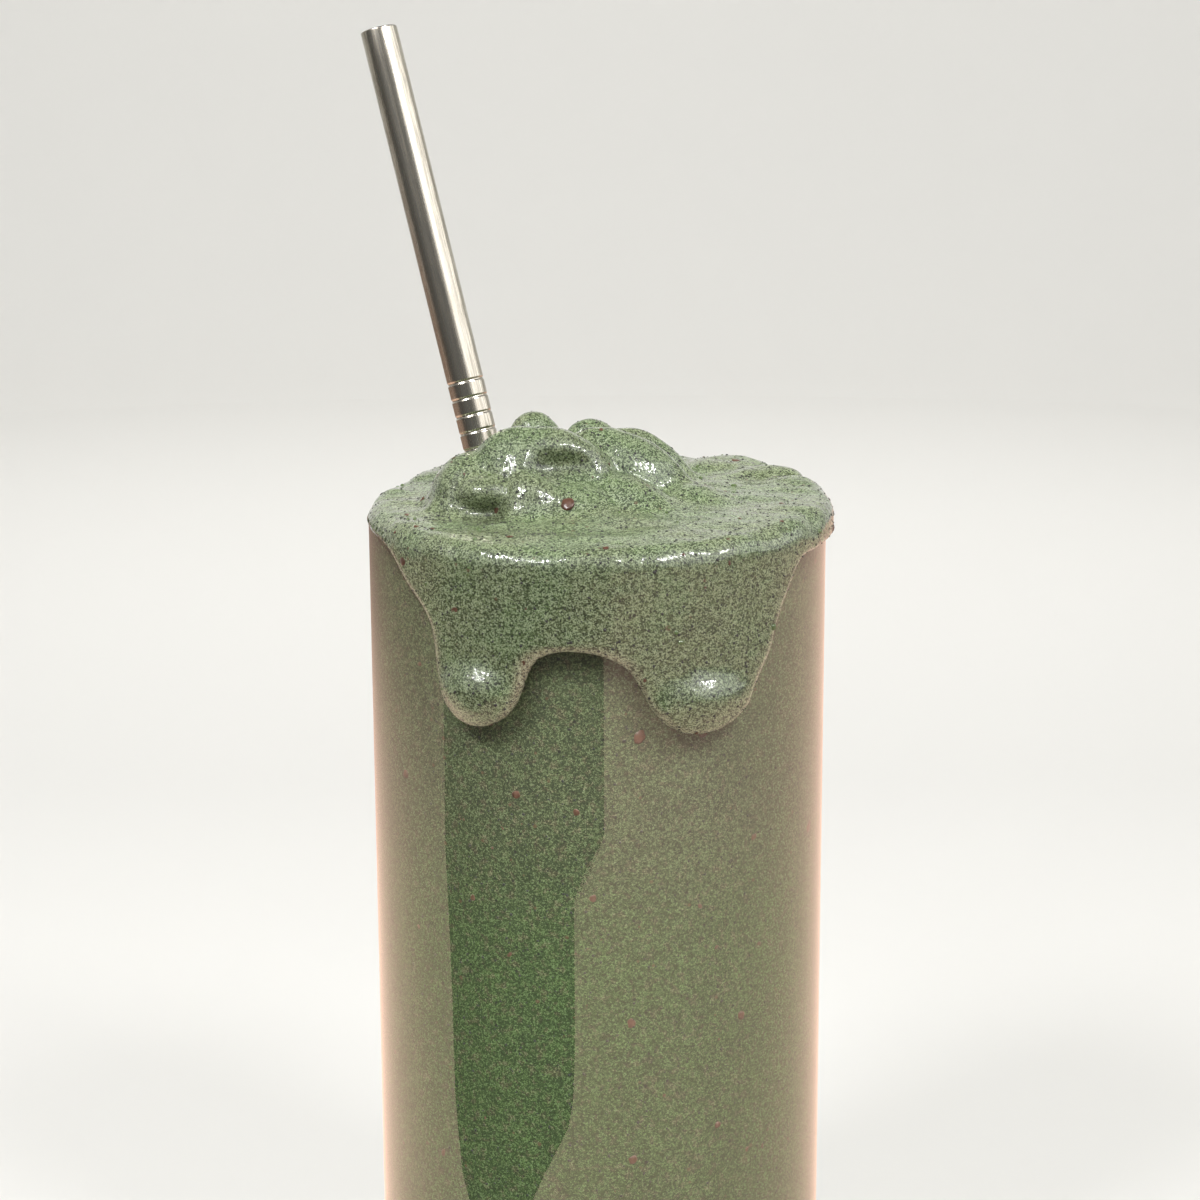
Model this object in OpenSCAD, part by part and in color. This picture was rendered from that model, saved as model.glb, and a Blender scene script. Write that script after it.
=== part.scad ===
// A green smoothie in a tall straight glass, heaped over the lip, with a steel drinking straw.
// The origin is the centre of the glass's underside. The front looks along -Y.
// Angles round the glass start at the front and grow towards +X.

/* [Glass] */
// Height of the glass
glass_h = 142; // [110:1:180]
// Outer diameter of the glass
glass_d = 72; // [58:1:90]
// Thickness of the wall
wall = 2.4; // [1.8:0.1:4]
// Thickness of the base
base_t = 8; // [4:0.5:14]
// Radius inside, where the wall meets the floor
floor_round = 5; // [2:0.5:8]
// Radius outside, round the foot
foot_round = 2.5; // [1:0.5:4]

/* [Smoothie, above the lip] */
// Height of the level part over the lip
cover = 3; // [2:0.5:5]
// Height of the top of the heap over the lip
heap_h = 15; // [8:0.5:22]
// Width of the rounded shoulder over the lip
shoulder = 4; // [3:0.5:6]
// Height of the small waves on the heap
ripple = 0.3; // [0:0.1:0.8]

/* [Smoothie, run over the side] */
// How far it hangs below the rounded lip all round
drape = 0.9; // [0.4:0.1:3]
// Unevenness of that plain edge
waver = 0.4; // [0:0.1:1.5]
// Thickness of the plain edge
edge_t = 0.6; // [0.4:0.1:1.5]
// How much fuller the plain edge is on the right, less so on the left
lopsided = 0.5; // [0:0.1:0.6]
// Length of the front sheet below the plain edge
sheet_l = 11.2; // [6:0.1:20]
// Half the width of the front sheet
sheet_w = 30; // [24:0.5:40]
// Place of the middle of the sheet, along the wall
sheet_at = 0.4; // [-10:0.1:10]
// Thickness of the front sheet
sheet_t = 2.5; // [1.5:0.1:4]
// Length of the left drip below the sheet
left_l = 12.2; // [5:0.1:30]
// Half the width of the left drip
left_w = 6.8; // [4:0.1:9]
// Place of the left drip, along the wall
left_at = -18.2; // [-24:0.1:-14]
// Length of the right drip below the sheet
right_l = 12; // [5:0.1:30]
// Half the width of the right drip
right_w = 9.3; // [5:0.1:11]
// Place of the right drip, along the wall
right_at = 16.6; // [12:0.1:22]
// Extra thickness at the heads of the drips
swell = 1.3; // [0:0.1:2.5]

/* [Straw] */
// Length of the straw
straw_l = 216; // [170:1:270]
// Outer diameter of the straw
straw_d = 6; // [5:0.5:10]
// Wall of the straw
straw_wall = 0.5; // [0.3:0.05:1]
// Room between straw and glass wall, level with the lip
mouth_room = 8; // [1:0.1:12]
// Angle of the straw there, round the glass
mouth_turn = -131.6; // [-180:1:180]
// Room between straw and glass wall, at the floor
foot_room = 11.9; // [3:0.1:14]
// Angle of the straw's foot, round the glass
foot_turn = 58.2; // [-180:1:180]
// Number of grip rings
rings = 5; // [0:1:8]
// Distance from the top of the straw to the first ring
ring_from_top = 58.5; // [10:0.5:100]
// Distance from one ring to the next
ring_pitch = 2.75; // [1.5:0.05:5]
// Depth of a ring
ring_depth = 0.14; // [0.05:0.01:0.25]

/* [Fits] */
// Clearance between smoothie and glass
glass_clear = 0.05; // [0.02:0.01:0.3]
// Clearance between smoothie and straw
straw_clear = 0.05; // [0.02:0.01:0.3]
// Clearance between the straw's foot and the floor
foot_clear = 0.6; // [0.2:0.1:5]

/* [Hidden] */

glass_r = glass_d/2;
bore_r = glass_r - wall;
lip_r = wall/2;
fill_r = bore_r - glass_clear;
fill_z = base_t + glass_clear;

// Lumps of the heap: place, reach along X and Y, each a share of the bore's radius, and height, a share of the heap.
LUMPS = [
    [-0.18, -0.12, 0.46, 0.34, 1.00], // the large one in front
    [-0.32,  0.24, 0.20, 0.17, 0.98], // a small peak behind it
    [-0.03,  0.36, 0.21, 0.18, 0.88], // the far peak
    [ 0.25,  0.03, 0.28, 0.25, 0.76], // the fold to its right
    [ 0.32,  0.36, 0.24, 0.20, 0.68], // the one behind that fold
    [ 0.50,  0.55, 0.42, 0.40, 0.14], // the flat rise at the back
];
LUMP_ROUND = 3;   // how flat the top of a lump is
CREASE = 5;       // how sharp the folds between lumps are
RIPPLE_TURN = 29; // degrees of wave for each millimetre

SHEET_SIDE = 10;  // steepness of the sheet's sides
DRIP_SIDE = 5;    // steepness of a drip's sides
DRIP_HEAD = 6;    // height of the thickest place over the tip

SIDES = 96;       // steps round the glass
FRONT_BIAS = 0.45; // how much closer the steps are at the front
ARC_STEPS = 5;    // steps in each rounded stretch
BACK_STEPS = 3;   // steps up the outside of the sheet
TOP_STEPS = 16;   // rings from the shoulder to the middle
widest_step = 360/SIDES*(1 + FRONT_BIAS);
outside_fit = 1/cos(widest_step/2); // keeps flat facets clear of the round glass
skin_r = (glass_r + glass_clear)*outside_fit;

mouth_r = bore_r - straw_d/2 - mouth_room;
foot_r = bore_r - straw_d/2 - foot_room;
mouth = [mouth_r*sin(mouth_turn), -mouth_r*cos(mouth_turn)];
foot = [foot_r*sin(foot_turn), -foot_r*cos(foot_turn)];
straw_run = mouth - foot;
straw_lean = atan2(norm(straw_run), glass_h - base_t);
straw_head = atan2(straw_run[1], straw_run[0]);
foot_z = base_t + foot_clear + straw_d/2*sin(straw_lean);

// A flat-topped rise: 1 in the middle and half at x = w
function rise(x, w, side) = 1/(1 + pow(abs(x)/w, side));

// An angle from -180 to 180
function signed(a) = a > 180 ? a - 360 : a;

// How full the plain edge is at s, a length along the wall from the front
function full(s) = 1 + lopsided*sin(s/glass_r*180/PI);

// How far the smoothie hangs below the top of the lip at s
function hang(s) = lip_r + drape*full(s)
    + waver*(0.5 + 0.5*sin(7*s/glass_r*180/PI + 50))
    + sheet_l*rise(s - sheet_at, sheet_w, SHEET_SIDE)
    + left_l*rise(s - left_at, left_w, DRIP_SIDE)
    + right_l*rise(s - right_at, right_w, DRIP_SIDE);

// How steeply that edge climbs
function steep(s) = (hang(s + 0.2) - hang(s - 0.2))/0.4;

// The extra thickness that one drip has at s, at a depth below the lip
function drip_head(s, depth, at, w) =
    swell*exp(-pow((s - at)/w, 2) - pow((hang(at) - DRIP_HEAD - depth)/DRIP_HEAD, 2));

// Thickness of what has run over the side
function thick(s, depth) = edge_t*full(s)
    + (sheet_t - edge_t)*rise(s - sheet_at, sheet_w, SHEET_SIDE)
    + drip_head(s, depth, left_at, left_w)
    + drip_head(s, depth, right_at, right_w);

// Height of one lump at a place x, y, both shares of the bore's radius
function lump(l, x, y) = l[4]*exp(-pow(norm([(x - l[0])/l[2], (y - l[1])/l[3]]), LUMP_ROUND));

// Height of the smoothie's top above the lip
function top_h(x, y) =
    let (parts = [for (l = LUMPS) pow(lump(l, x/bore_r, y/bore_r), CREASE)],
         heap = pow(parts*[for (l = LUMPS) 1], 1/CREASE))
    cover + (heap_h - cover)*heap
    + ripple*sin(RIPPLE_TURN*x + 20)*sin(RIPPLE_TURN*y - 35);

// The outline from the floor to the lip, touching the inside of the glass
inside_line = concat(
    [for (k = [0:ARC_STEPS]) let (t = -90 + 90*k/ARC_STEPS)
        [fill_r - floor_round + floor_round*cos(t), fill_z + floor_round + floor_round*sin(t)]],
    [for (t = [157.5, 112.5]) lip_point(t)],
    [for (t = [67.5, 22.5]) let (p = lip_point(t)) [p[0]*outside_fit, p[1]]]);

// A corner of the eight-sided line that goes round the rounded lip
function lip_point(t) =
    let (reach = (lip_r + glass_clear)/cos(22.5))
    [glass_r - lip_r + reach*cos(t), glass_h - lip_r + reach*sin(t)];

// The outline from the hanging edge to the middle of the heap, at an angle a
function outside_line(a) =
    let (s = signed(a)*PI/180*glass_r,
         low = hang(s),
         bead_t = thick(s, low),
         bead_h = min(bead_t*norm([1, steep(s)]), low),
         out_r = skin_r + thick(s, 0),
         in_r = out_r - shoulder,
         in_h = top_h(in_r*sin(a), -in_r*cos(a)))
    concat(
        [for (k = [0:ARC_STEPS]) let (t = 90*k/ARC_STEPS)
            [skin_r + bead_t*sin(t), glass_h - low + bead_h*(1 - cos(t))]],
        [for (k = [1:BACK_STEPS]) let (depth = (low - bead_h)*(1 - k/(BACK_STEPS + 1)))
            [skin_r + thick(s, depth), glass_h - depth]],
        [for (k = [0:ARC_STEPS]) let (t = 90*k/ARC_STEPS)
            [in_r + shoulder*cos(t), glass_h + in_h*sin(t)]],
        [for (k = [1:TOP_STEPS]) let (r = in_r*(1 - k/(TOP_STEPS + 1)))
            [r, glass_h + top_h(r*sin(a), -r*cos(a))]]);

// The angle of a step round the glass, closer together at the front
function turn(i) = 360*i/SIDES - FRONT_BIAS*180/PI*sin(360*i/SIDES);

module glass() {
    color([0.85, 0.93, 0.90, 0.35])
        rotate_extrude($fn = 128)
            union() {
                difference() {
                    union() {
                        translate([0, foot_round])
                            square([glass_r, glass_h - lip_r - foot_round]);
                        square([glass_r - foot_round, foot_round]);
                        translate([glass_r - foot_round, foot_round])
                            circle(foot_round, $fn = 64);
                    }
                    translate([0, base_t + floor_round])
                        square([bore_r, glass_h]);
                    translate([0, base_t])
                        square([bore_r - floor_round, glass_h]);
                    translate([bore_r - floor_round, base_t + floor_round])
                        circle(floor_round, $fn = 64);
                }
                translate([glass_r - lip_r, glass_h - lip_r])
                    circle(lip_r, $fn = 64);
            }
}

// The whole body of the drink, before the straw goes in
module smoothie_body() {
    lines = [for (i = [0:SIDES - 1]) concat(inside_line, outside_line(turn(i)))];
    n = len(lines[0]);
    points = concat(
        [[0, 0, fill_z]],
        [for (i = [0:SIDES - 1]) for (p = lines[i]) [p[0]*sin(turn(i)), -p[0]*cos(turn(i)), p[1]]],
        [[0, 0, glass_h + top_h(0, 0)]]);
    last = SIDES*n + 1;
    faces = [for (i = [0:SIDES - 1]) let (a = 1 + i*n, b = 1 + (i + 1)%SIDES*n) each concat(
        [[0, a, b]],
        [for (k = [0:n - 2]) each [[a + k, a + k + 1, b + k + 1], [a + k, b + k + 1, b + k]]],
        [[a + n - 1, last, b + n - 1]])];
    polyhedron(points, faces);
}

module smoothie() {
    color([0.44, 0.50, 0.38])
        difference() {
            smoothie_body();
            straw_place() tube(straw_clear);
        }
}

// Puts a shape that stands on the origin where the straw stands
module straw_place() {
    translate([foot[0], foot[1], base_t] + [straw_run[0], straw_run[1], glass_h - base_t]
        *(foot_z - base_t)/(glass_h - base_t))
        rotate([0, straw_lean, straw_head])
            children();
}

// The straw's plain tube, with extra room on every side
module tube(room) {
    translate([0, 0, -room])
        difference() {
            cylinder(h = straw_l + 2*room, r = straw_d/2 + room, $fn = 64);
            translate([0, 0, -1])
                cylinder(h = straw_l + 2*room + 2, r = straw_d/2 - straw_wall - room, $fn = 64);
        }
}

module straw() {
    mid_r = (straw_d - straw_wall)/2;
    end_r = straw_wall/2;
    color("silver")
        straw_place()
            difference() {
                rotate_extrude($fn = 64)
                    union() {
                        translate([mid_r - end_r, end_r])
                            square([straw_wall, straw_l - straw_wall]);
                        translate([mid_r, end_r])
                            circle(end_r, $fn = 32);
                        translate([mid_r, straw_l - end_r])
                            circle(end_r, $fn = 32);
                    }
                for (k = [0:1:rings - 1])
                    translate([0, 0, straw_l - ring_from_top - k*ring_pitch])
                        rotate_extrude($fn = 64)
                            translate([straw_d/2 + ring_depth, 0])
                                circle(2*ring_depth, $fn = 32);
            }
}

glass();
smoothie();
straw();
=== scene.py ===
"""A green smoothie in a tall glass with a steel straw: the looks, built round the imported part.

Sizes are in millimetres and are made into metres where a mesh is written. Angles round the
glass start at the front (-Y) and grow towards +X; s is a length along the wall from the front,
and h is a height over the lip.
"""
import math

import bpy
import numpy as np
from mathutils import Matrix, Vector


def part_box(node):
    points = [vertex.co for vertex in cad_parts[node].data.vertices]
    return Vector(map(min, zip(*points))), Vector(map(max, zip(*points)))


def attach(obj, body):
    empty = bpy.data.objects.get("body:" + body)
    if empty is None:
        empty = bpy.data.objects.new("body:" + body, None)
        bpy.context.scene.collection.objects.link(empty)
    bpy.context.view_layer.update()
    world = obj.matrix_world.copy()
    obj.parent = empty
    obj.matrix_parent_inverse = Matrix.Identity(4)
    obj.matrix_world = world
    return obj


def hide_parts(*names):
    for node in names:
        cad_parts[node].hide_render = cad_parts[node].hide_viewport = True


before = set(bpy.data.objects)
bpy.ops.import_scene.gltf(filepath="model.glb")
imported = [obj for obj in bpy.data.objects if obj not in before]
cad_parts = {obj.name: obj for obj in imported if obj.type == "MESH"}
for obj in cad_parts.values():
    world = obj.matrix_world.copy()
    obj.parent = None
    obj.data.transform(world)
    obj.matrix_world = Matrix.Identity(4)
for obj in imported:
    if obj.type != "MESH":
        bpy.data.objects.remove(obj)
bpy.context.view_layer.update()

MM = 0.001

# ---------------------------------------------------------------- sizes
GLASS_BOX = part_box("glass")
GLASS_R = round(GLASS_BOX[1].x / MM, 1)
LIP_Z = round(GLASS_BOX[1].z / MM, 1)
WALL = 2.4
BASE = 8.0
FLOOR_ROUND = 5.0
FOOT_ROUND = 2.5
BORE_R = GLASS_R - WALL
REACH = 0.15          # how far the smoothie reaches into the glass, so that no air shows
GLASS_STEPS = 256

STRAW_R = 3.0
STRAW_WALL = 0.5
STRAW_STEPS = 96
RINGS = 5
RING_FROM_TOP = 58.5
RING_PITCH = 2.75
RING_DEPTH = 0.14
RING_HALF = 0.3

COVER = 3.0           # level of the smoothie over the lip
SHOULDER = 3.2        # radius of its rounded shoulder
EDGE_T = 0.8          # thickness of the plain edge round the lip
LOPSIDED = 0.5        # how much fuller that edge is on the right
EDGE_BLEND = 3.3      # how softly that edge runs into the sheet
DRAPE = 1.75          # how far it hangs below the lip
SHEET_T = 1.9         # thickness of what has run down the front
SHEET_HALF = 31.0     # how far round it is that thick, along the wall
SHEET_CORNER = 3.0    # how softly its sides meet, and then its bottom
SHEET_FOOT = 1.5
DRIP_BLEND = 9.5      # how softly the drips run into the sheet
CREASE = 0.7          # how soft the folds between the lumps are
FOOT_BLEND = 3.4      # how softly the heap runs into the level part

# The two drips: middle along the wall, middle of the round head over the lip, radius;
# then the bead in the head: how far below the middle, and its reach across, out and up
DRIPS = [
    (-18.5, -19.2, 6.8, 1.3, 5.6, 3.8, 4.3),
    (16.0, -17.7, 9.2, 3.8, 7.6, 3.7, 4.0),
]
BEAD_OUT = 0.2        # how far the middle of a bead stands out of the wall
BEAD_BLEND = 1.5      # how softly it runs into its drip
# The sides and the bottom of the sheet, each a line (s, h) to (s, h), outside on its right
SHEET_SIDES = [
    ((-34.3, -4.6), (-25.8, -11.4)),
    ((25.8, -16.1), (33.1, -5.7)),
    ((-10.0, -13.4), (10.0, -14.2)),
]

# Lumps of the heap: middle x, y and h, reach along x, y and up, tilt down to the right, turn
LUMPS = [
    (-11.6, -4.5, 4.0, 8.8, 7.6, 10.6, 0, 0),      # the large one in front
    (-4.2, -5.0, 6.6, 9.4, 6.2, 6.2, 45, 0),       # its right end, a straight steep ridge
    (-18.6, -4.0, 2.8, 7.6, 8.5, 7.6, -14, 0),     # its left shoulder
    (-9.6, 12.0, 7.3, 4.8, 4.2, 6.9, -12, 0),      # a small peak behind it
    (-1.0, 14.0, 7.6, 4.6, 3.8, 5.1, 0, 0),        # the far peak
    (5.4, 1.2, 2.9, 13.2, 6.0, 8.2, 37, -4),       # the fold to the right
    (6.8, 10.5, 3.6, 9.4, 4.2, 7.2, 34, 0),        # the one behind that fold
    (-17.4, -10.6, 5.4, 4.0, 4.0, 2.8, -6, 12),    # a curl over the hollow
    (-10.0, -9.5, 2.8, 5.8, 6.6, 6.4, 0, 15),      # bumps on the front of the large one
    (-2.6, -11.0, 3.0, 6.2, 5.6, 4.2, 8, -15),
    (5.0, -8.0, 2.4, 7.0, 5.6, 4.8, 24, 0),
    (15.0, -4.0, 1.4, 5.0, 4.0, 3.6, 20, 0),       # low ones at the foot of the fold
    (22.0, 22.0, 2.2, 6.0, 4.0, 1.8, 0, 30),       # low ones at the back
    (27.5, 14.0, 1.9, 4.2, 3.0, 1.9, 0, 0),
    (30.5, 8.0, 1.6, 3.0, 2.4, 1.9, 0, 0),
    (4.0, 25.0, 2.2, 8.0, 5.0, 1.8, 0, 0),
    (-22.0, 20.0, 1.6, 6.0, 5.0, 1.0, 0, -40),
]
# Hollows: middle x, y and h, reach along x, y and up
HOLLOWS = [
    (-17.2, -15.6, 2.8, 2.4, 2.8, 1.15),
    (-4.0, -12.0, 9.4, 6.0, 3.7, 2.0),
]
HOLLOW_BLEND = 2.4    # how rounded their edges are

# The net laid over the smoothie: cells near the top, and how far the net reaches
CELL = 0.6
QUICK_CELL = 0.9      # the cell size at the floor of the glass
NET_SIDE = 7.0        # past the glass
NET_UP = 17.0         # over the lip
NET_DOWN = 30.0       # below the lip with small cells
NET_ROWS = 26         # rows of long cells below those

# ---------------------------------------------------------------- shapes as distances


def soft_min(a, b, k):
    """Two solids joined, run together over about k."""
    t = np.clip(0.5 + 0.5 * (b - a) / k, 0, 1)
    return b + (a - b) * t - k * t * (1 - t)


def soft_max(a, b, k):
    """What two solids share, its edge softened over about k."""
    return -soft_min(-a, -b, k)


def round_max(a, b, radius):
    """What two solids share, its edge rounded to a radius."""
    a, b = a + radius, b + radius
    inner = np.minimum(np.maximum(a, b), 0)
    return inner + np.hypot(np.maximum(a, 0), np.maximum(b, 0)) - radius


def past_line(s, h, line):
    """Distance past the right-hand side of a line."""
    (s0, h0), (s1, h1) = line
    length = math.hypot(s1 - s0, h1 - h0)
    return ((s - s0) * (h1 - h0) - (h - h0) * (s1 - s0)) / length


def ellipsoid(x, y, z, middle, reach, tilt=0, turn=0):
    """About the distance to an ellipsoid, tilted down to the right and then turned."""
    x, y, z = x - middle[0], y - middle[1], z - middle[2]
    c, n = math.cos(math.radians(turn)), math.sin(math.radians(turn))
    x, y = c * x + n * y, c * y - n * x
    c, n = math.cos(math.radians(tilt)), math.sin(math.radians(tilt))
    x, z = c * x - n * z, c * z + n * x
    p = (x / reach[0], y / reach[1], z / reach[2])
    far = np.sqrt(p[0] ** 2 + p[1] ** 2 + p[2] ** 2)
    slope = np.sqrt((p[0] / reach[0]) ** 2 + (p[1] / reach[1]) ** 2 + (p[2] / reach[2]) ** 2)
    return far * (far - 1) / np.maximum(slope, 1e-6)


def wavy(x, y, z, length, seed):
    """Smooth uneven waves from -1 to 1 of about one length, the same each run."""
    rng, count = np.random.default_rng(seed), 9
    total = 0
    for _ in range(count):
        way = rng.normal(size=3)
        way *= 2 * math.pi / (length * rng.uniform(0.7, 1.5)) / np.linalg.norm(way)
        start = rng.uniform(0, 2 * math.pi)
        total = total + np.sin(way[0] * x + way[1] * y + way[2] * z + start)
    return total / count * 1.6


def overflow_outline(s, h, fullness):
    """Distance outside the outline of what hangs over the wall, on the unrolled wall."""
    left, right, bottom = (past_line(s, h, line) for line in SHEET_SIDES)
    sheet = soft_max(soft_max(left, right, SHEET_CORNER), bottom, SHEET_FOOT)
    for middle, head, radius, *_ in DRIPS:
        sheet = soft_min(sheet, np.hypot(s - middle, h - head) - radius, DRIP_BLEND)
    plain = -h - DRAPE * (1.2 * fullness - 0.2)
    return soft_min(sheet, plain, EDGE_BLEND)


def smoothie_distance(x, y, z):
    """Distance to the surface of the whole drink, below zero inside it."""
    r = np.hypot(x, y)
    a = np.arctan2(x, -y)
    s, h = a * GLASS_R, z - LIP_Z
    fullness = 1 + LOPSIDED * np.sin(a)
    slow = wavy(x, y, z, 9, 3)
    quick = wavy(x, y, z, 3.4, 5)

    outline = overflow_outline(s, h, fullness) + 0.25 * slow
    front = 1 / (1 + (np.abs(s - 0.4) / SHEET_HALF) ** 10)
    thick = EDGE_T * fullness + (SHEET_T - EDGE_T) * front
    thick = thick + (0.12 * slow + 0.05 * quick) * front

    cover = COVER + 0.7 * np.clip((x + y) / 40, -1, 1) - 0.8 * np.clip(r / 33 - 0.55, 0, 1)
    level = h - cover - 0.35 * slow - 0.08 * quick
    # What hangs over the wall, with a bead in each drip
    outside = round_max(r - GLASS_R - thick, level, SHOULDER)
    outside = round_max(outside, outline, 0.9 * thick)
    for middle, head, _, drop, *reach in DRIPS:
        bead = ellipsoid(s, r - GLASS_R, h, (middle, BEAD_OUT, head - drop), reach)
        outside = soft_min(outside, bead + 0.15 * slow, BEAD_BLEND)

    # What fills the glass
    floor = BASE - REACH - z
    inside = round_max(r - BORE_R - REACH, floor, FLOOR_ROUND)
    inside = np.maximum(inside, level)
    body = np.minimum(outside, inside)

    # The heap on top
    heap = None
    for row in LUMPS:
        lump = ellipsoid(x, y, h, row[:3], row[3:6], *row[6:])
        heap = lump if heap is None else soft_min(heap, lump, CREASE)
    heap = heap - 0.3 * slow - 0.1 * quick
    body = soft_min(body, heap, FOOT_BLEND)
    for row in HOLLOWS:
        body = soft_max(body, -ellipsoid(x, y, h, row[:3], row[3:]), HOLLOW_BLEND)

    # The glass is cut out of it, but for the reach
    half = WALL / 2
    wall = np.hypot(r - GLASS_R + half, np.maximum(h + half, 0)) - half + REACH
    return np.maximum(body, -wall)


# ---------------------------------------------------------------- distances into a mesh


def net_over(field, xs, ys, zs):
    """A net of quads over field = 0: one corner in each cell that the surface crosses."""
    axes = (xs, ys, zs)
    cells = tuple(len(v) - 1 for v in axes)
    total, count = np.zeros(cells + (3,)), np.zeros(cells)
    inside = field < 0
    crossings = []
    for axis in range(3):
        near = [slice(None)] * 3
        far = [slice(None)] * 3
        near[axis], far[axis] = slice(0, -1), slice(1, None)
        at = np.argwhere(inside[tuple(near)] != inside[tuple(far)])
        step = np.eye(3, dtype=int)[axis]
        f0, f1 = field[tuple(at.T)], field[tuple((at + step).T)]
        point = np.stack([axes[k][at[:, k]] for k in range(3)], 1)
        gap = axes[axis][at[:, axis] + 1] - axes[axis][at[:, axis]]
        point[:, axis] += gap * f0 / (f0 - f1)
        u, v = (np.eye(3, dtype=int)[(axis + n) % 3] for n in (1, 2))
        around = [at - u - v, at - v, at, at - u]
        for cell in around:
            held = tuple(cell.T)
            np.add.at(total, held, point)
            np.add.at(count, held, 1)
        crossings.append((around, f0 < 0))
    number = np.full(cells, -1)
    used = count > 0
    number[used] = np.arange(used.sum())
    corners = total[used] / count[used][:, None]
    quads = []
    for around, leaves in crossings:
        quad = np.stack([number[tuple(cell.T)] for cell in around], 1)
        quads.append(np.where(leaves[:, None], quad, quad[:, ::-1]))
    return corners, np.concatenate(quads)


def settle(points, distance, rounds=3, most=0.4, step=0.02):
    """Moves points onto the surface where distance = 0."""
    for _ in range(rounds):
        x, y, z = points.T
        value = distance(x, y, z)
        slope = np.stack([
            (distance(x + step * i, y + step * j, z + step * k)
             - distance(x - step * i, y - step * j, z - step * k)) / (2 * step)
            for i, j, k in ((1, 0, 0), (0, 1, 0), (0, 0, 1))], 1)
        move = value[:, None] * slope / np.maximum((slope ** 2).sum(1), 0.05)[:, None]
        size = np.linalg.norm(move, axis=1)[:, None]
        points = points - move * np.minimum(1, most / np.maximum(size, 1e-9))
    return points


def link(name, mesh):
    """A new object in the scene."""
    piece = bpy.data.objects.new(name, mesh)
    bpy.context.scene.collection.objects.link(piece)
    return piece


def mesh_of(name, points, faces=(), edges=()):
    """A smooth-shaded mesh from points in millimetres."""
    mesh = bpy.data.meshes.new(name)
    mesh.from_pydata([tuple(p) for p in np.asarray(points) * MM],
                     [tuple(int(i) for i in edge) for edge in edges],
                     [tuple(int(i) for i in face) for face in faces])
    mesh.shade_smooth()
    return mesh


def make_smoothie():
    """The whole drink, with attributes for what stands behind glass, which is painted darker as
    shade, and for its thin edge, which gets a painted floor reflection.
    """
    cell = CELL
    side = GLASS_R + NET_SIDE
    xs = np.arange(-side, side + cell, cell) + 0.013    # no row of corners on the axis
    fine_from = LIP_Z - NET_DOWN
    zs = np.concatenate([
        np.arange(BASE - 1.1, BASE + FLOOR_ROUND + 1, QUICK_CELL),
        np.linspace(BASE + FLOOR_ROUND + 2.5, fine_from - 1, NET_ROWS),
        np.arange(fine_from, LIP_Z + NET_UP, cell)])
    grid = np.meshgrid(xs, xs, zs, indexing="ij")
    field = smoothie_distance(*(g.astype(np.float32) for g in grid))
    points, quads = net_over(field, xs, xs, zs)
    points = settle(points, smoothie_distance)
    mesh = mesh_of("smoothie_body", points, quads)

    x, y, z = points.T
    r, a = np.hypot(x, y), np.arctan2(x, -y)
    behind = (r < GLASS_R - 0.05) & (r > BORE_R - 1.5) & (z < LIP_Z + 0.3)
    behind |= z < LIP_Z - 5 - 100 * (r > BORE_R + 1)
    # Its thin edge along the outline of the overflow, where a floor reflection is painted
    outline = overflow_outline(a * GLASS_R, z - LIP_Z, 1 + LOPSIDED * np.sin(a))
    edge = np.clip(1.2 + outline, 0, 1) * (r > GLASS_R - 0.05)
    edge = edge * np.clip(-1.5 - z + LIP_Z, 0, 1) * np.clip(37 - np.abs(a) * GLASS_R, 0, 1)
    for name, value in (("behind_glass", behind), ("edge_reflection", edge)):
        held = mesh.attributes.new(name, "FLOAT", "POINT")
        held.data.foreach_set("value", value.astype(np.float32))
    return link("smoothie_body", mesh)


# ---------------------------------------------------------------- node trees


def add(tree, kind, setup=None, **inputs):
    """A node, with its settings and its inputs by name, a link where the value is a socket."""
    new = tree.nodes.new(kind)
    for name, value in (setup or {}).items():
        setattr(new, name, value)
    for name, value in inputs.items():
        feed(tree, new.inputs[name.replace("_", " ")], value)
    return new


def feed(tree, socket, value):
    """Links a socket to an input, or sets the input to a value."""
    if isinstance(value, bpy.types.NodeSocket):
        tree.links.new(value, socket)
    else:
        socket.default_value = value


def math_node(tree, operation, *values):
    """The result of a sum."""
    new = tree.nodes.new("ShaderNodeMath")
    new.operation = operation
    for socket, value in zip(new.inputs, values):
        feed(tree, socket, value)
    return new.outputs[0]


def vector_math(tree, operation, a, b=None, **inputs):
    """A sum on vectors: its node."""
    new = add(tree, "ShaderNodeVectorMath", {"operation": operation}, **inputs)
    for socket, value in zip(new.inputs, (a, b)):
        if value is not None:
            feed(tree, socket, value)
    return new


def new_tree(name, inputs):
    """A Geometry Nodes tree with named inputs and one mesh out, and its input sockets."""
    tree = bpy.data.node_groups.new(name, "GeometryNodeTree")
    for title, kind in inputs:
        tree.interface.new_socket(title, in_out="INPUT", socket_type="NodeSocket" + kind)
    tree.interface.new_socket("Mesh", in_out="OUTPUT", socket_type="NodeSocketGeometry")
    return tree, add(tree, "NodeGroupInput").outputs


def finish_tree(tree, mesh, paint):
    """Ends a tree in real geometry with its material."""
    real = add(tree, "GeometryNodeRealizeInstances", Geometry=mesh)
    done = add(tree, "GeometryNodeSetMaterial", Geometry=real.outputs[0], Material=paint)
    add(tree, "NodeGroupOutput", Mesh=done.outputs[0])
    return tree


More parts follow.
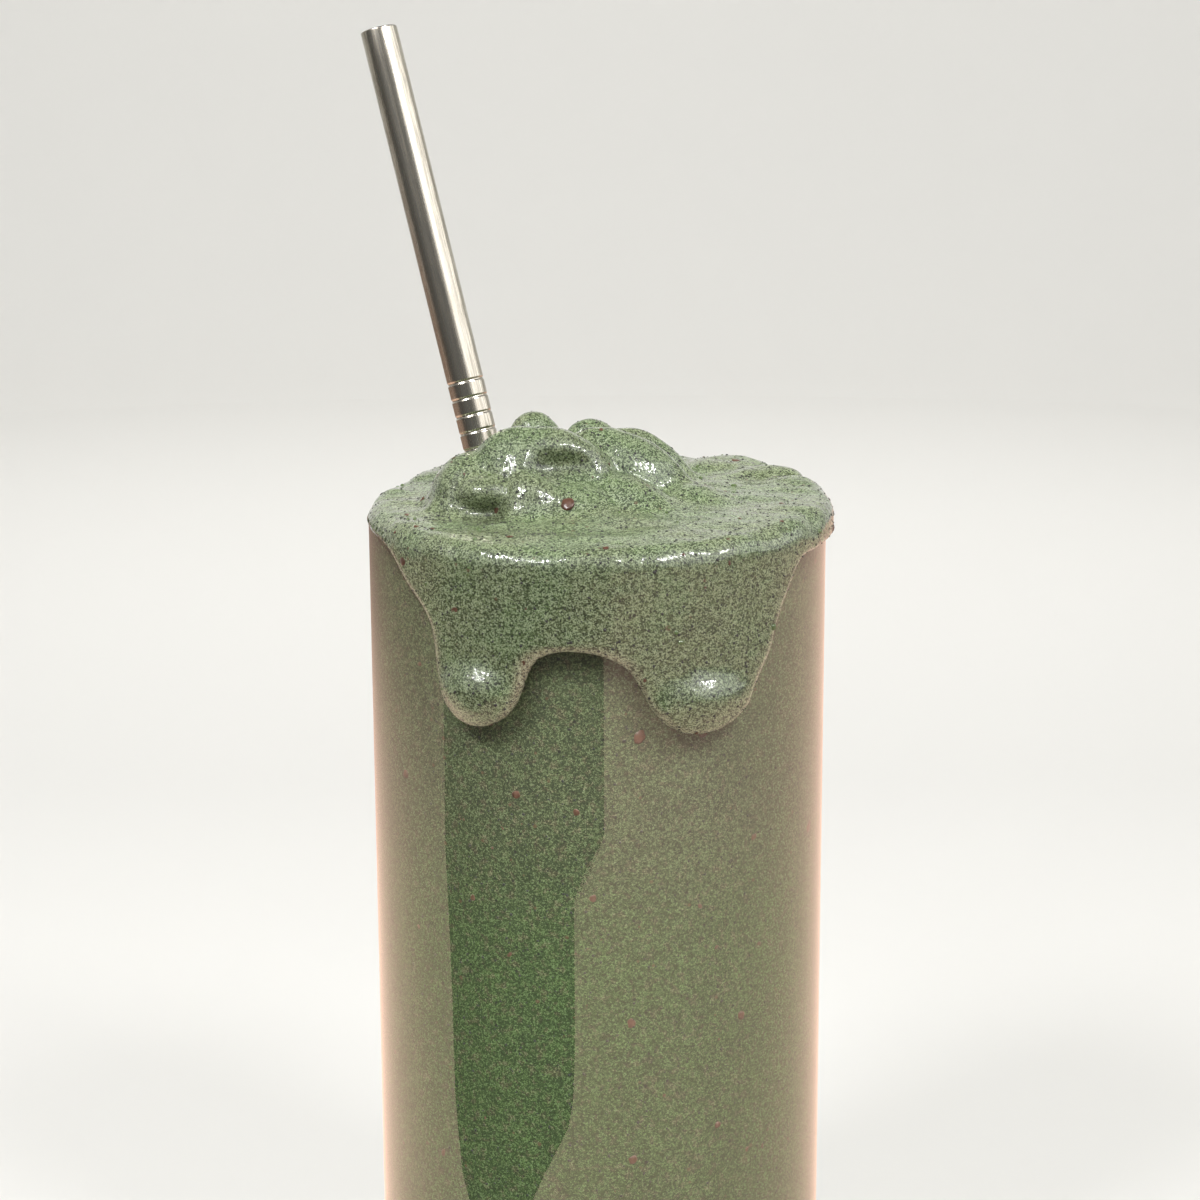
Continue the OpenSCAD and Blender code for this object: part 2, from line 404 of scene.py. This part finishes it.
def modified(piece, tree, inputs):
    """The plain mesh that a Geometry Nodes tree makes of a piece; the piece itself is removed."""
    name = piece.name
    modifier = piece.modifiers.new(tree.name, "NODES")
    modifier.node_group = tree
    named = {s.name: s.identifier for s in tree.interface.items_tree if s.in_out == "INPUT"}
    for key, value in inputs.items():
        modifier[named[key]] = value
    seen = piece.evaluated_get(bpy.context.evaluated_depsgraph_get())
    mesh = bpy.data.meshes.new_from_object(seen)
    piece.modifiers.remove(modifier)
    bpy.data.objects.remove(piece)
    mesh.name = name
    paint = [m for m in mesh.materials if m][-1]
    mesh.materials.clear()
    mesh.materials.append(paint)
    mesh.polygons.foreach_set("material_index", [0] * len(mesh.polygons))
    return link(name, mesh)


def turned_tree():
    """Turns an outline of points (radius, 0, height) round the Z axis."""
    tree, given = new_tree("Turned piece", (
        ("Outline", "Geometry"), ("Steps", "Int"), ("Material", "Material")))
    position = add(tree, "GeometryNodeInputPosition").outputs[0]

    # A grid one unit square: a column for each step, a row for each point of the outline
    size = add(tree, "GeometryNodeAttributeDomainSize", Geometry=given["Outline"])
    rows = size.outputs["Point Count"]
    columns = math_node(tree, "ADD", given["Steps"], 1)
    grid = add(tree, "GeometryNodeMeshGrid", Size_X=1.0, Size_Y=1.0, Vertices_X=columns,
               Vertices_Y=rows)
    place = add(tree, "ShaderNodeSeparateXYZ", Vector=position)
    up = math_node(tree, "ADD", place.outputs["Y"], 0.5)
    row = math_node(tree, "MULTIPLY", up, math_node(tree, "SUBTRACT", rows, 1))
    sample = add(tree, "GeometryNodeSampleIndex", {"data_type": "FLOAT_VECTOR"},
                 Geometry=given["Outline"], Index=math_node(tree, "ROUND", row), Value=position)
    at = add(tree, "ShaderNodeSeparateXYZ", Vector=sample.outputs[0])

    # Its columns set round the axis
    around = math_node(tree, "ADD", place.outputs["X"], 0.5)
    angle = math_node(tree, "MULTIPLY", around, 2 * math.pi)
    to_back = math_node(tree, "MULTIPLY", math_node(tree, "COSINE", angle), -1.0)
    point = add(tree, "ShaderNodeCombineXYZ",
                X=math_node(tree, "MULTIPLY", at.outputs["X"], math_node(tree, "SINE", angle)),
                Y=math_node(tree, "MULTIPLY", at.outputs["X"], to_back),
                Z=at.outputs["Z"])
    moved = add(tree, "GeometryNodeSetPosition", Geometry=grid.outputs["Mesh"],
                Position=point.outputs[0])
    closed = add(tree, "GeometryNodeMergeByDistance", Geometry=moved.outputs[0], Distance=1e-6)
    smooth = add(tree, "GeometryNodeSetShadeSmooth", Geometry=closed.outputs[0])
    return finish_tree(tree, smooth.outputs[0], given["Material"])


def scatter_tree():
    """Strews small uneven grains over the input mesh, half sunk in it."""
    tree, given = new_tree("Strewn grains", (
        ("Ground", "Geometry"), ("Per Area", "Float"), ("Weight", "String"), ("Seed", "Int"),
        ("Smallest", "Float"), ("Largest", "Float"), ("Rarity", "Float"), ("Flatness", "Float"),
        ("Unevenness", "Float"), ("Fineness", "Int"), ("Material", "Material")))

    weight = add(tree, "GeometryNodeInputNamedAttribute", {"data_type": "FLOAT"},
                 Name=given["Weight"])
    density = math_node(tree, "MULTIPLY", given["Per Area"], weight.outputs["Attribute"])
    spread = add(tree, "GeometryNodeDistributePointsOnFaces", Mesh=given["Ground"],
                 Density=density, Seed=given["Seed"])
    ball = add(tree, "GeometryNodeMeshIcoSphere", Radius=1.0, Subdivisions=given["Fineness"])

    # Many small ones and a few large ones, each stretched and turned its own way
    dice = add(tree, "FunctionNodeRandomValue", {"data_type": "FLOAT"}, Seed=given["Seed"])
    rare = math_node(tree, "POWER", dice.outputs[1], given["Rarity"])
    span = math_node(tree, "SUBTRACT", given["Largest"], given["Smallest"])
    size = math_node(tree, "ADD", given["Smallest"], math_node(tree, "MULTIPLY", rare, span))
    stretch = add(tree, "FunctionNodeRandomValue", {"data_type": "FLOAT_VECTOR"},
                  Seed=math_node(tree, "ADD", given["Seed"], 7))
    stretch.inputs[0].default_value = (0.7, 0.7, 1.0)
    stretch.inputs[1].default_value = (1.35, 1.1, 1.0)
    thick = math_node(tree, "MULTIPLY", size, given["Flatness"])
    flat = add(tree, "ShaderNodeCombineXYZ", X=size, Y=size, Z=thick)
    scale = vector_math(tree, "MULTIPLY", stretch.outputs[0], flat.outputs[0])
    spin = add(tree, "FunctionNodeRandomValue", {"data_type": "FLOAT"},
               Seed=math_node(tree, "ADD", given["Seed"], 3))
    angle = math_node(tree, "MULTIPLY", spin.outputs[1], 2 * math.pi)
    turn = add(tree, "FunctionNodeEulerToRotation",
               Euler=add(tree, "ShaderNodeCombineXYZ", Z=angle).outputs[0])
    stood = add(tree, "FunctionNodeRotateRotation", {"rotation_space": "LOCAL"},
                Rotation=spread.outputs["Rotation"], Rotate_By=turn.outputs[0])
    placed = add(tree, "GeometryNodeInstanceOnPoints", Points=spread.outputs["Points"],
                 Instance=ball.outputs["Mesh"], Rotation=stood.outputs[0], Scale=scale.outputs[0])
    real = add(tree, "GeometryNodeRealizeInstances", Geometry=placed.outputs[0])

    # Dents, so that no grain is a plain ball
    dents = add(tree, "ShaderNodeTexNoise", {"noise_dimensions": "3D"}, Scale=1400.0, Detail=1.0)
    shift = vector_math(tree, "SUBTRACT", dents.outputs["Color"], (0.5, 0.5, 0.5))
    uneven = vector_math(tree, "SCALE", shift.outputs[0], Scale=given["Unevenness"])
    rough = add(tree, "GeometryNodeSetPosition", Geometry=real.outputs[0],
                Offset=uneven.outputs[0])
    smooth = add(tree, "GeometryNodeSetShadeSmooth", Geometry=rough.outputs[0])
    return finish_tree(tree, smooth.outputs[0], given["Material"])


# ---------------------------------------------------------------- materials


def material(name):
    """A new material: its tree, its shader node and its Object coordinates."""
    made = bpy.data.materials.new(name)
    made.use_nodes = True
    tree = made.node_tree
    shader = next(n for n in tree.nodes if n.type == "BSDF_PRINCIPLED")
    place = add(tree, "ShaderNodeTexCoord").outputs["Object"]
    return made, tree, shader, place


def mix(tree, factor, a, b):
    """A mix of two colours."""
    new = add(tree, "ShaderNodeMix", {"data_type": "RGBA"})
    for socket, value in zip((new.inputs[0], new.inputs[6], new.inputs[7]), (factor, a, b)):
        feed(tree, socket, (*value, 1) if isinstance(value, tuple) else value)
    return new.outputs[2]


def ramp(tree, value, low, high, to_low=0.0, to_high=1.0):
    """A smooth step from to_low to to_high."""
    return add(tree, "ShaderNodeMapRange", {"interpolation_type": "SMOOTHSTEP"}, Value=value,
               From_Min=low, From_Max=high, To_Min=to_low, To_Max=to_high).outputs[0]


def noise(tree, place, size_mm, detail=2.0, rough=0.5):
    """Noise from 0 to 1 whose spots are about size_mm across."""
    return add(tree, "ShaderNodeTexNoise", Vector=place, Scale=1 / (size_mm * MM), Detail=detail,
               Roughness=rough).outputs["Fac"]


def dots(tree, place, pitch_mm, share, radius):
    """1 inside dots: share of the cells hold one, and its radius is given in cells."""
    cells = add(tree, "ShaderNodeTexVoronoi", Vector=place, Scale=1 / (pitch_mm * MM))
    chance = add(tree, "ShaderNodeSeparateColor", Color=cells.outputs["Color"])
    kept = math_node(tree, "LESS_THAN", chance.outputs[0], share)
    size = math_node(tree, "MULTIPLY_ADD", chance.outputs[1], radius * 0.7, radius * 0.5)
    edge = math_node(tree, "SUBTRACT", size, cells.outputs["Distance"])
    return math_node(tree, "MULTIPLY", kept, ramp(tree, edge, 0, radius * 0.35))


GREEN, GREY = (0.136, 0.200, 0.078), (0.150, 0.190, 0.082)    # the bare smoothie, two tones
PALE = (0.36, 0.40, 0.27)                                     # its light grains
SHADE_BEHIND_GLASS, LOW = (0.056, 0.073, 0.027), (0.036, 0.076, 0.013)      # behind glass, painted darker as shade; and low down there
MURK = (0.082, 0.060, 0.036)                                  # brown bits behind glass
EDGE_REFLECTION = (0.36, 0.31, 0.20)                                # painted reflection of the floor, where it thins out
FLECK, FLECK_DARK = (0.13, 0.055, 0.03), (0.10, 0.04, 0.02)
SPECK, SPECK_LIGHT = (0.012, 0.013, 0.010), (0.025, 0.023, 0.017)
STEEL_DARK, STEEL_LIGHT = (0.38, 0.345, 0.285), (0.66, 0.62, 0.54)
GLASS_TINT = (0.965, 0.985, 0.97)
FLOOR_TONE = (0.80, 0.79, 0.76)
WARM = (1.0, 0.70, 0.55)                                      # the glowing floor


def smoothie_material():
    """Green, grainy and wet; painted darker behind glass as shade, and with a painted floor
    reflection along its thin edge.
    """
    made, tree, shader, place = material("Wet green smoothie")
    behind = add(tree, "ShaderNodeAttribute", {"attribute_name": "behind_glass"}).outputs["Fac"]
    bare = mix(tree, ramp(tree, noise(tree, place, 11), 0.38, 0.62), GREEN, GREY)

    murky = ramp(tree, noise(tree, place, 1.2, 3.0, 0.65), 0.5, 0.66, 0, 0.6)
    height = add(tree, "ShaderNodeSeparateXYZ", Vector=place).outputs["Z"]
    # Behind glass the smoothie is painted darker, standing in for shade; lower down it runs towards
    # a greener, darker tone
    shaded_fill = mix(tree, ramp(tree, height, 0.105, 0.075, 0, 0.8), SHADE_BEHIND_GLASS, LOW)
    colour = mix(tree, behind, bare, mix(tree, murky, shaded_fill, MURK))
    # A painted reflection of the floor along the thin edge of the overflow
    edge = add(tree, "ShaderNodeAttribute", {"attribute_name": "edge_reflection"}).outputs["Fac"]
    colour = mix(tree, math_node(tree, "MULTIPLY", edge, 0.75), colour, EDGE_REFLECTION)

    # Fine grain, light and dark, calmer behind glass
    cells = add(tree, "ShaderNodeTexVoronoi", Vector=place, Scale=1 / (0.26 * MM))
    bits = add(tree, "ShaderNodeSeparateColor", Color=cells.outputs["Color"]).outputs[0]
    grain = noise(tree, place, 0.15, 1.0, 0.6)
    bits, grains = ramp(tree, bits, 0, 1, 0.3, 1.9), ramp(tree, grain, 0.36, 0.64, 0.3, 1.9)
    fine = math_node(tree, "SUBTRACT", math_node(tree, "MULTIPLY", bits, grains), 1.0)
    calm = math_node(tree, "MULTIPLY_ADD", behind, -0.35, 1.0)
    fine = math_node(tree, "MULTIPLY_ADD", fine, calm, 1.0)
    coarse = ramp(tree, noise(tree, place, 2.4, 2.0, 0.6), 0.3, 0.7, 0.9, 1.1)
    depth = math_node(tree, "MULTIPLY", fine, coarse)
    shade = vector_math(tree, "SCALE", colour, Scale=depth)
    pale = math_node(tree, "MULTIPLY", ramp(tree, fine, 1.2, 2.3, 0, 0.6),
                     math_node(tree, "SUBTRACT", 1.3, behind))
    colour = mix(tree, pale, shade.outputs[0], PALE)

    # Bits too small to be made as grains of their own: pitch, share and radius of each kind
    for tone, strength, kinds in ((FLECK, 0.6, ((5.0, 0.16, 0.11), (1.9, 0.25, 0.18))),
                                  (SPECK, 0.85, ((1.3, 0.45, 0.17), (2.2, 0.5, 0.13)))):
        both = math_node(tree, "MAXIMUM", *(dots(tree, place, *kind) for kind in kinds))
        colour = mix(tree, math_node(tree, "MULTIPLY", both, strength), colour, tone)
    feed(tree, shader.inputs["Base Color"], colour)

    # A dull body under a wet film; the film is only wrinkled
    shader.inputs["Roughness"].default_value = 0.5
    shader.inputs["IOR"].default_value = 1.4
    shader.inputs["Coat Roughness"].default_value = 0.06
    feed(tree, shader.inputs["Coat Weight"], math_node(tree, "MULTIPLY_ADD", behind, -0.9, 1.0))
    wrinkles = noise(tree, place, 1.5, 3.0)
    rise = math_node(tree, "MULTIPLY_ADD", wrinkles, 1.6, math_node(tree, "MULTIPLY", grain, 0.4))
    body = add(tree, "ShaderNodeBump", Height=rise, Strength=0.4, Distance=0.35 * MM)
    film = add(tree, "ShaderNodeBump", Height=wrinkles, Strength=0.35, Distance=0.5 * MM)
    feed(tree, shader.inputs["Normal"], body.outputs[0])
    feed(tree, shader.inputs["Coat Normal"], film.outputs[0])
    return made


def grain_material(name, colour, other, rough):
    """Small solid grains: two tones, wet."""
    made, tree, shader, place = material(name)
    tone = mix(tree, ramp(tree, noise(tree, place, 0.6), 0.4, 0.6), colour, other)
    feed(tree, shader.inputs["Base Color"], tone)
    shader.inputs["Roughness"].default_value = rough
    return made


def glass_material():
    """Clear glass, very slightly smeared in places."""
    made, tree, shader, place = material("Clear glass")
    shader.inputs["Base Color"].default_value = (*GLASS_TINT, 1)
    shader.inputs["Transmission Weight"].default_value = 1.0
    shader.inputs["IOR"].default_value = 1.48
    shader.inputs["Coat Weight"].default_value = 1.0
    shader.inputs["Coat Roughness"].default_value = 0.0
    smear = ramp(tree, noise(tree, place, 9, 3.0), 0.45, 0.75, 0.0, 0.05)
    feed(tree, shader.inputs["Roughness"], smear)
    return made


def steel_material(axis):
    """Steel brushed along the straw."""
    made, tree, shader, place = material("Brushed steel")
    turn = axis.to_track_quat("Z", "Y").inverted().to_euler()
    for change in ({"Rotation": turn}, {"Scale": (1.0, 1.0, 0.035)}):
        place = add(tree, "ShaderNodeMapping", {"vector_type": "POINT"}, Vector=place,
                    **change).outputs[0]
    scratch = noise(tree, place, 0.22, 3.0, 0.7)
    colour = mix(tree, ramp(tree, scratch, 0.35, 0.65), STEEL_DARK, STEEL_LIGHT)
    feed(tree, shader.inputs["Base Color"], colour)
    shader.inputs["Metallic"].default_value = 1.0
    feed(tree, shader.inputs["Roughness"], ramp(tree, scratch, 0.3, 0.7, 0.30, 0.20))
    bump = add(tree, "ShaderNodeBump", Height=scratch, Strength=0.25, Distance=0.05 * MM)
    feed(tree, shader.inputs["Normal"], bump.outputs[0])
    return made


# ---------------------------------------------------------------- turned pieces


def arc(middle, radius, start, end, steps):
    """Points (radius, height) along an arc, angles in degrees from the outward direction."""
    turns = np.radians(np.linspace(start, end, steps + 1))
    return [(middle[0] + radius * math.cos(t), middle[1] + radius * math.sin(t)) for t in turns]


def turned(name, outline, steps, tree, paint):
    """A piece turned from its outline, given from the outside of its foot upwards."""
    points = [(r, 0, z) for r, z in outline]
    edges = [(i, i + 1) for i in range(len(points) - 1)]
    piece = link(name, mesh_of(name, points, edges=edges))
    return modified(piece, tree, {"Steps": steps, "Material": paint})


def make_glass(tree, paint):
    """The tumbler: a straight wall, a rounded lip and a thick base."""
    half = WALL / 2
    outline = [(0, 0)]
    outline += arc((GLASS_R - FOOT_ROUND, FOOT_ROUND), FOOT_ROUND, -90, 0, 10)
    outline += [(GLASS_R, z) for z in np.linspace(FOOT_ROUND, LIP_Z - half, 24)[1:-1]]
    outline += arc((GLASS_R - half, LIP_Z - half), half, 0, 180, 16)
    outline += [(BORE_R, z) for z in np.linspace(LIP_Z - half, BASE + FLOOR_ROUND, 24)[1:-1]]
    outline += arc((BORE_R - FLOOR_ROUND, BASE + FLOOR_ROUND), FLOOR_ROUND, 0, -90, 12)
    outline += [(0, BASE)]
    return turned("glass_tumbler", outline, GLASS_STEPS, tree, paint)


def straw_ends():
    """The two ends of the straw's axis, in metres, from its CAD mesh."""
    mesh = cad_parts["straw"].data
    points = np.array([v.co for v in mesh.vertices])
    middle = (points.max(0) + points.min(0)) / 2
    way = np.linalg.svd(points - points.mean(0), full_matrices=False)[2][0]
    way = way if way[2] > 0 else -way
    along = (points - middle) @ way
    foot = points[along < along.min() + 0.5 * MM].mean(0)
    top = points[along > along.max() - 0.5 * MM].mean(0)
    way = (top - foot) / np.linalg.norm(top - foot)
    foot = foot + way * (((points - foot) @ way).min())
    top = foot + way * (((points - foot) @ way).max())
    return Vector(foot), Vector(top)


def make_straw(tree, paint, foot, top):
    """The straw: a thin tube with rounded ends and fine rings, turned upright and then leant."""
    length = (top - foot).length / MM
    mid, half = STRAW_R - STRAW_WALL / 2, STRAW_WALL / 2
    outline = arc((mid, half), half, -180, 0, 12)
    rings = [length - RING_FROM_TOP - k * RING_PITCH for k in range(RINGS)]
    z = half
    for ring in sorted(rings):
        outline += [(STRAW_R, v) for v in np.linspace(z, ring - RING_HALF * 1.3, 6)[1:]]
        groove = np.linspace(-1, 1, 9)
        outline += [(STRAW_R - RING_DEPTH * (1 - v * v), ring + RING_HALF * v) for v in groove]
        z = ring + RING_HALF * 1.3
        outline.append((STRAW_R, z))
    outline += [(STRAW_R, v) for v in np.linspace(z, length - half, 12)[1:-1]]
    outline += arc((mid, length - half), half, 0, 180, 12)
    outline.append(outline[0])
    piece = turned("steel_straw", outline, STRAW_STEPS, tree, paint)
    turn = (top - foot).to_track_quat("Z", "Y").to_matrix().to_4x4()
    piece.data.transform(Matrix.Translation(foot) @ turn)
    return piece


# ---------------------------------------------------------------- strewn pieces


def strewn(name, ground, tree, weights, **inputs):
    """A piece of grains strewn over a copy of the ground, thick where weights are high."""
    mesh = ground.data.copy()
    mesh.materials.clear()
    spread = mesh.attributes.new("spread", "FLOAT", "POINT")
    spread.data.foreach_set("value", weights.astype(np.float32))
    piece = link(name, mesh)
    inputs = {key.replace("_", " "): value for key, value in inputs.items()}
    return modified(piece, tree, {"Weight": "spread", **inputs})


def strew_all(smoothie, tree, paints):
    """Specks, flecks and bubbles, on the bare smoothie and, but for bubbles, on the wall."""
    points = np.zeros(len(smoothie.data.vertices) * 3)
    smoothie.data.vertices.foreach_get("co", points)
    x, y, z = points.reshape(-1, 3).T / MM
    r, h = np.hypot(x, y), z - LIP_Z
    seen_wall = ((r > BORE_R) & (r < BORE_R + 0.5) & (h < -1)).astype(float)
    bare = ((h > 0.4) | (r > GLASS_R + 0.3)).astype(float)
    return [
        strewn("dark_specks", smoothie, tree, bare + 0.45 * seen_wall, Seed=11,
               Per_Area=0.36 / MM ** 2, Smallest=0.11 * MM, Largest=0.27 * MM, Rarity=2.2,
               Fineness=1, Flatness=0.6, Unevenness=0.08 * MM, Material=paints["speck"]),
        strewn("fruit_flecks", smoothie, tree, bare + 0.7 * seen_wall, Seed=23,
               Per_Area=0.006 / MM ** 2, Smallest=0.25 * MM, Largest=1.0 * MM, Rarity=2.0,
               Fineness=2, Flatness=0.22, Unevenness=0.6 * MM, Material=paints["fleck"]),
        strewn("froth_bubbles", smoothie, tree, bare, Seed=5,
               Per_Area=0.012 / MM ** 2, Smallest=0.15 * MM, Largest=0.5 * MM, Rarity=3.0,
               Fineness=2, Flatness=0.8, Unevenness=0.0, Material=paints["bubble"]),
    ]


# ---------------------------------------------------------------- stage, light and camera


def make_stage():
    """A pale round floor that curves up into a wall; only the far side of the wall is reflected."""
    made, _, shader, _ = material("Pale floor")
    shader.inputs["Base Color"].default_value = (*FLOOR_TONE, 1)
    shader.inputs["Roughness"].default_value = 0.6
    shader.inputs["Specular IOR Level"].default_value = 0.0

    flat, bend, up, steps = 1.0, 0.4, 2.2, 72
    line = [(r, 0.0) for r in (0.0, 0.2, 0.35, 0.5, 0.75)]
    rings = len(line)
    line += [(flat + bend * math.sin(t), bend * (1 - math.cos(t)))
             for t in np.linspace(0, math.pi / 2, 13)]
    line.append((flat + bend, up))
    points = [(r * math.sin(t), -r * math.cos(t), z)
              for r, z in line for t in np.arange(steps) * 2 * math.pi / steps]
    parts = {"pale_floor": [], "pale_backdrop": [], "pale_front": []}
    for i in range(len(line) - 1):
        for k in range(steps):
            face = [i * steps + k, i * steps + (k + 1) % steps]
            face += [face[1] + steps, face[0] + steps]
            y = sum(points[n][1] for n in face) / 4
            level = i < rings
            front = y < (-0.35 if level else 0.0)
            name = "pale_front" if front else "pale_floor" if level else "pale_backdrop"
            parts[name].append(face[::-1])
    for name, faces in parts.items():
        part = link(name, mesh_of(name, np.array(points) / MM, faces))
        part.data.materials.append(made)
        part.visible_glossy = name == "pale_backdrop"
        part.visible_diffuse = name != "pale_front"


def area_light(name, place, aim, size, power):
    """A soft white lamp at a place in metres, facing along aim."""
    data = bpy.data.lights.new(name, "AREA")
    data.shape, data.size, data.size_y = "RECTANGLE", size[0], size[1]
    data.energy = power
    lamp = link(name, data)
    lamp.location = place
    lamp.rotation_euler = Vector(aim).to_track_quat("-Z", "Y").to_euler()
    lamp.visible_camera = False
    return lamp


# The glowing floor has a dark gap in front on the left: at each distance in metres, the two
# edges of the gap in degrees
GAP_AT = (0.08, 0.093, 0.12, 0.135, 0.155, 0.19, 0.306, 0.316, 0.74)
GAP_RIGHT = (-43.0, -36.0, -28.5, -21.7, -12.4, -11.3, -11.7, 2.6, 2.7)
GAP_LEFT = (-43.5, -54.0, -65.5, -68.5, -71.5, -73.6, -79.4, -79.6, -82.1)
# Its two materials: how bright on the right, and on the left near the glass and far from it
GLOWS = (("Warm glow", 1.2, 1.35, 0.32), ("Dim glow", 0.1, 0.1, 0.1))
GLOW_FROM, GLOW_TO = 0.042, 0.95    # from the foot of the glass outwards
GLOW_Z = 0.002                      # over the floor


def make_glow():
    """A warm floor that is seen only as a reflection, brighter near the glass."""
    rings, steps = np.geomspace(GLOW_FROM, GLOW_TO, 40), 96
    points = []
    for r in rings:
        start, end = np.interp(r, GAP_AT, GAP_RIGHT), 360 + np.interp(r, GAP_AT, GAP_LEFT)
        points += [(r * math.sin(t), -r * math.cos(t), GLOW_Z)
                   for t in np.radians(np.linspace(start, end, steps))]
    rows = [i * steps for i in range(len(rings) - 1)]
    faces = [(i + k, i + steps + k, i + steps + k + 1, i + k + 1)
             for i in rows for k in range(steps - 1)]
    faces += [(i + steps - 1, i + 2 * steps - 1, i + steps, i) for i in rows]    # the gap
    glow = link("warm_glow", mesh_of("warm_glow", np.array(points) / MM, faces))
    for name, bright, near_left, far_left in GLOWS:
        made, tree, shader, place = material(name)
        far = vector_math(tree, "LENGTH", place).outputs["Value"]
        across = add(tree, "ShaderNodeSeparateXYZ", Vector=place).outputs["X"]
        left = ramp(tree, far, 0.08, 0.65, near_left, far_left)
        right = ramp(tree, far, 0.15, 0.65, bright, 0.78 * bright)
        strength = add(tree, "ShaderNodeMix", Factor=ramp(tree, across, -0.06, 0.06), A=left,
                       B=right).outputs[0]
        shader.inputs["Base Color"].default_value = (0, 0, 0, 1)
        shader.inputs["Specular IOR Level"].default_value = 0
        shader.inputs["Emission Color"].default_value = (*WARM, 1)
        feed(tree, shader.inputs["Emission Strength"], strength)
        made.cycles.emission_sampling = "NONE"
        glow.data.materials.append(made)
    dim = np.zeros(len(faces), int)
    dim[-len(rows):] = 1
    glow.data.polygons.foreach_set("material_index", dim)
    glow.visible_camera = glow.visible_diffuse = False
    glow.visible_transmission = glow.visible_shadow = False


def make_light():
    """Soft light from above, two lamps in front whose reflections show, and the glowing floor."""
    world = bpy.data.worlds.new("Soft daylight")
    bpy.context.scene.world = world
    world.use_nodes = True
    ground = next(n for n in world.node_tree.nodes if n.type == "BACKGROUND")
    ground.inputs["Color"].default_value = (0.93, 0.96, 0.94, 1)
    ground.inputs["Strength"].default_value = 0.09
    top = area_light("top", (0.0, 0.22, 1.0), (0, -0.22, -0.86), (0.6, 0.5), 7.0)
    top.visible_glossy = False
    for side, name in ((-1, "left"), (1, "right")):
        place, aim = (0.38 * side, -0.38, 0.67), (-0.38 * side, 0.38, -0.53)
        area_light(name + "_key", place, aim, (0.2, 0.2), 2.5 - 0.2 * side).visible_glossy = False
        area_light(name + "_window", place, aim, (0.26, 0.08), 9.0).visible_diffuse = False
    area_light("back", (0.0, 0.45, 0.75), (0, 0.85, -0.15), (0.8, 0.3), 5.0)
    card = area_light("side_card", (0.58, -0.16, 0.42), (-0.92, 0.26, -0.28), (1.2, 0.5), 2.8)
    card.visible_diffuse = False
    make_glow()


CAMERA_OUT = 433.34   # distance in front of the glass's axis
CAMERA_UP = 88.16     # height over the lip
CAMERA_SIDE = 0.37
CAMERA_PITCH = 13.3   # degrees downwards
CAMERA_ROLL = -0.25


def make_camera():
    """The camera, in front and a little above."""
    data = bpy.data.cameras.new("camera")
    data.lens, data.sensor_width = 84.0, 36.0
    data.clip_start, data.clip_end = 0.01, 20.0
    camera = link("camera", data)
    pitch = Matrix.Rotation(math.radians(90 - CAMERA_PITCH), 4, "X")
    roll = Matrix.Rotation(math.radians(CAMERA_ROLL), 4, "Z")
    place = Vector((CAMERA_SIDE, -CAMERA_OUT, LIP_Z + CAMERA_UP)) * MM
    camera.matrix_world = Matrix.Translation(place) @ (pitch @ roll)
    bpy.context.scene.camera = camera


# ---------------------------------------------------------------- the whole


def main():
    """Builds the scene and rides every piece on the one body."""
    make_camera()
    make_stage()
    make_light()
    view = bpy.context.scene.view_settings
    view.view_transform, view.look, view.exposure, view.gamma = "Standard", "None", 0.0, 1.0

    foot, top = straw_ends()
    lathe, scatter = turned_tree(), scatter_tree()
    glass = make_glass(lathe, glass_material())
    glass.visible_shadow = False
    straw = make_straw(lathe, steel_material(top - foot), foot, top)
    smoothie = make_smoothie()
    smoothie.data.materials.append(smoothie_material())
    paints = {
        "speck": grain_material("Dark seed", SPECK, SPECK_LIGHT, 0.6),
        "fleck": grain_material("Fruit skin", FLECK, FLECK_DARK, 0.35),
        "bubble": grain_material("Froth", GREEN, GREY, 0.15),
    }
    grains = strew_all(smoothie, scatter, paints)

    slots = [(glass, "glass"), (straw, "steel")]
    slots += [(piece, "smoothie") for piece in (smoothie, *grains)]
    for piece, slot in slots:
        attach(piece, "root")
    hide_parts("glass")
    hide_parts("straw")
    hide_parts("smoothie")


main()
